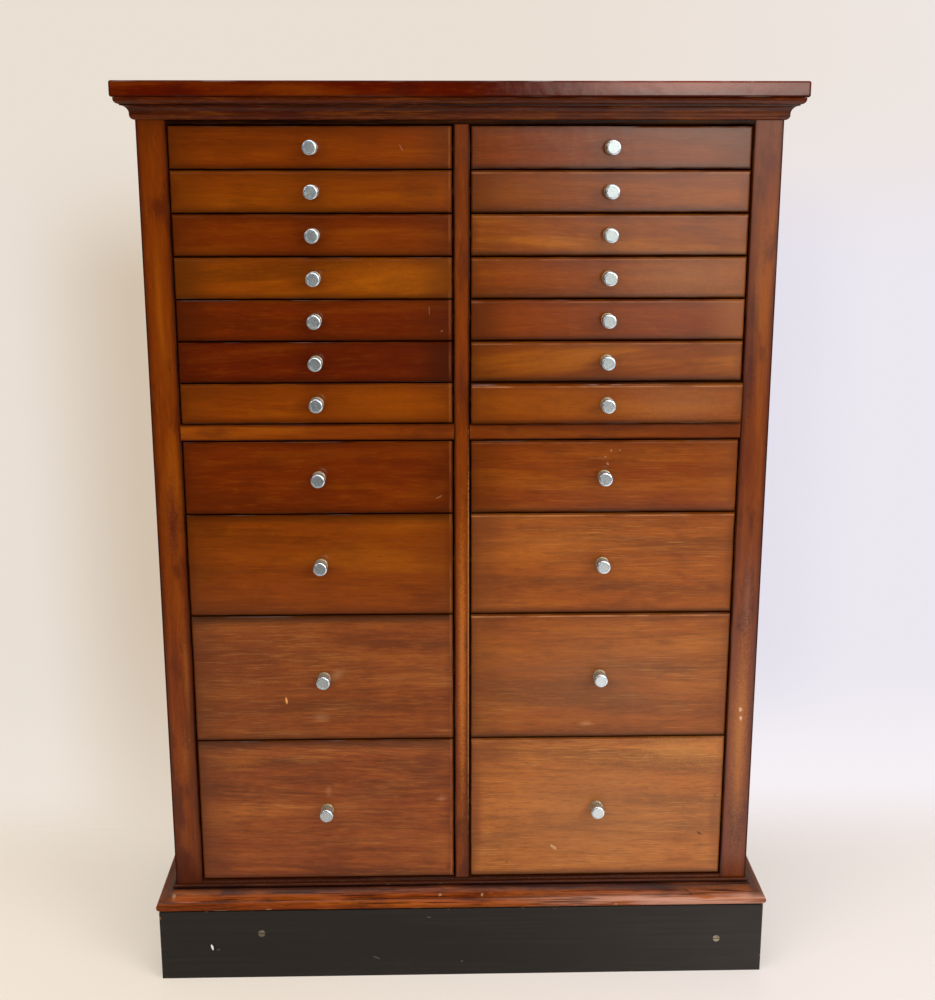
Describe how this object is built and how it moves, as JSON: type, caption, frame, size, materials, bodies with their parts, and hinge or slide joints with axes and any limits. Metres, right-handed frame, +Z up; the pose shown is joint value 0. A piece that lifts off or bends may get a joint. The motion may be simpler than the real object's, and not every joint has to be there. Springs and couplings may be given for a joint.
{
  "type": "dental cabinet",
  "caption": "Free-standing mahogany dental cabinet with columns of side-hung dovetailed drawers, metal knobs, a moulded cornice and base, and a black plinth.",
  "frame": {"origin": "on the floor, under the middle of the whole cabinet's bounding box", "axes": "+Z up, +X to the right as seen from the front, +Y from the drawer fronts to the back"},
  "size_m": [0.8078, 0.413, 1.1527],
  "materials": {
    "case_mahogany": "varnished mahogany, satin gloss, worn at the edges",
    "moulding_mahogany": "varnished mahogany mouldings, dark in the hollows",
    "drawer_mahogany": "varnished mahogany fronts on plain mahogany drawer boxes",
    "inner_wood": "unvarnished secondary wood",
    "black_paint": "wood painted black, dull, chipped",
    "nickel": "nickel plate, satin face with a bright rim",
    "screw_steel": "tarnished steel"
  },
  "bodies": {
    "case": {"side_left": "case_mahogany", "side_right": "case_mahogany", "face_stiles": "case_mahogany", "face_rails": "case_mahogany", "centre_partition": "inner_wood", "bottom_board": "inner_wood", "sub_top": "inner_wood", "dust_boards": "inner_wood", "back_boards": "inner_wood", "drawer_runners": "inner_wood", "top_board": "case_mahogany", "cornice_moulding": "moulding_mahogany", "base_moulding": "moulding_mahogany", "plinth_frame": "black_paint", "plinth_cleats": "inner_wood", "plinth_screws": "screw_steel"},
    "left_1": {"drawer_left_1": "drawer_mahogany", "knob_left_1": "nickel"},
    "left_2": {"drawer_left_2": "drawer_mahogany", "knob_left_2": "nickel"},
    "left_3": {"drawer_left_3": "drawer_mahogany", "knob_left_3": "nickel"},
    "left_4": {"drawer_left_4": "drawer_mahogany", "knob_left_4": "nickel"},
    "left_5": {"drawer_left_5": "drawer_mahogany", "knob_left_5": "nickel"},
    "left_6": {"drawer_left_6": "drawer_mahogany", "knob_left_6": "nickel"},
    "left_7": {"drawer_left_7": "drawer_mahogany", "knob_left_7": "nickel"},
    "left_8": {"drawer_left_8": "drawer_mahogany", "knob_left_8": "nickel"},
    "left_9": {"drawer_left_9": "drawer_mahogany", "knob_left_9": "nickel"},
    "left_10": {"drawer_left_10": "drawer_mahogany", "knob_left_10": "nickel"},
    "left_11": {"drawer_left_11": "drawer_mahogany", "knob_left_11": "nickel"},
    "right_1": {"drawer_right_1": "drawer_mahogany", "knob_right_1": "nickel"},
    "right_2": {"drawer_right_2": "drawer_mahogany", "knob_right_2": "nickel"},
    "right_3": {"drawer_right_3": "drawer_mahogany", "knob_right_3": "nickel"},
    "right_4": {"drawer_right_4": "drawer_mahogany", "knob_right_4": "nickel"},
    "right_5": {"drawer_right_5": "drawer_mahogany", "knob_right_5": "nickel"},
    "right_6": {"drawer_right_6": "drawer_mahogany", "knob_right_6": "nickel"},
    "right_7": {"drawer_right_7": "drawer_mahogany", "knob_right_7": "nickel"},
    "right_8": {"drawer_right_8": "drawer_mahogany", "knob_right_8": "nickel"},
    "right_9": {"drawer_right_9": "drawer_mahogany", "knob_right_9": "nickel"},
    "right_10": {"drawer_right_10": "drawer_mahogany", "knob_right_10": "nickel"},
    "right_11": {"drawer_right_11": "drawer_mahogany", "knob_right_11": "nickel"}
  },
  "joints": [
    {"name": "slide_left_1", "type": "slide", "parent": "case", "child": "left_1", "axis": [0, -1, 0], "range_m": [0, 0.27]},
    {"name": "slide_left_2", "type": "slide", "parent": "case", "child": "left_2", "axis": [0, -1, 0], "range_m": [0, 0.27]},
    {"name": "slide_left_3", "type": "slide", "parent": "case", "child": "left_3", "axis": [0, -1, 0], "range_m": [0, 0.27]},
    {"name": "slide_left_4", "type": "slide", "parent": "case", "child": "left_4", "axis": [0, -1, 0], "range_m": [0, 0.27]},
    {"name": "slide_left_5", "type": "slide", "parent": "case", "child": "left_5", "axis": [0, -1, 0], "range_m": [0, 0.27]},
    {"name": "slide_left_6", "type": "slide", "parent": "case", "child": "left_6", "axis": [0, -1, 0], "range_m": [0, 0.27]},
    {"name": "slide_left_7", "type": "slide", "parent": "case", "child": "left_7", "axis": [0, -1, 0], "range_m": [0, 0.27]},
    {"name": "slide_left_8", "type": "slide", "parent": "case", "child": "left_8", "axis": [0, -1, 0], "range_m": [0, 0.27]},
    {"name": "slide_left_9", "type": "slide", "parent": "case", "child": "left_9", "axis": [0, -1, 0], "range_m": [0, 0.27]},
    {"name": "slide_left_10", "type": "slide", "parent": "case", "child": "left_10", "axis": [0, -1, 0], "range_m": [0, 0.27]},
    {"name": "slide_left_11", "type": "slide", "parent": "case", "child": "left_11", "axis": [0, -1, 0], "range_m": [0, 0.27]},
    {"name": "slide_right_1", "type": "slide", "parent": "case", "child": "right_1", "axis": [0, -1, 0], "range_m": [0, 0.27]},
    {"name": "slide_right_2", "type": "slide", "parent": "case", "child": "right_2", "axis": [0, -1, 0], "range_m": [0, 0.27]},
    {"name": "slide_right_3", "type": "slide", "parent": "case", "child": "right_3", "axis": [0, -1, 0], "range_m": [0, 0.27]},
    {"name": "slide_right_4", "type": "slide", "parent": "case", "child": "right_4", "axis": [0, -1, 0], "range_m": [0, 0.27]},
    {"name": "slide_right_5", "type": "slide", "parent": "case", "child": "right_5", "axis": [0, -1, 0], "range_m": [0, 0.27]},
    {"name": "slide_right_6", "type": "slide", "parent": "case", "child": "right_6", "axis": [0, -1, 0], "range_m": [0, 0.27]},
    {"name": "slide_right_7", "type": "slide", "parent": "case", "child": "right_7", "axis": [0, -1, 0], "range_m": [-0.012, 0.258]},
    {"name": "slide_right_8", "type": "slide", "parent": "case", "child": "right_8", "axis": [0, -1, 0], "range_m": [0, 0.27]},
    {"name": "slide_right_9", "type": "slide", "parent": "case", "child": "right_9", "axis": [0, -1, 0], "range_m": [0, 0.27]},
    {"name": "slide_right_10", "type": "slide", "parent": "case", "child": "right_10", "axis": [0, -1, 0], "range_m": [0, 0.27]},
    {"name": "slide_right_11", "type": "slide", "parent": "case", "child": "right_11", "axis": [0, -1, 0], "range_m": [0, 0.27]}
  ]
}
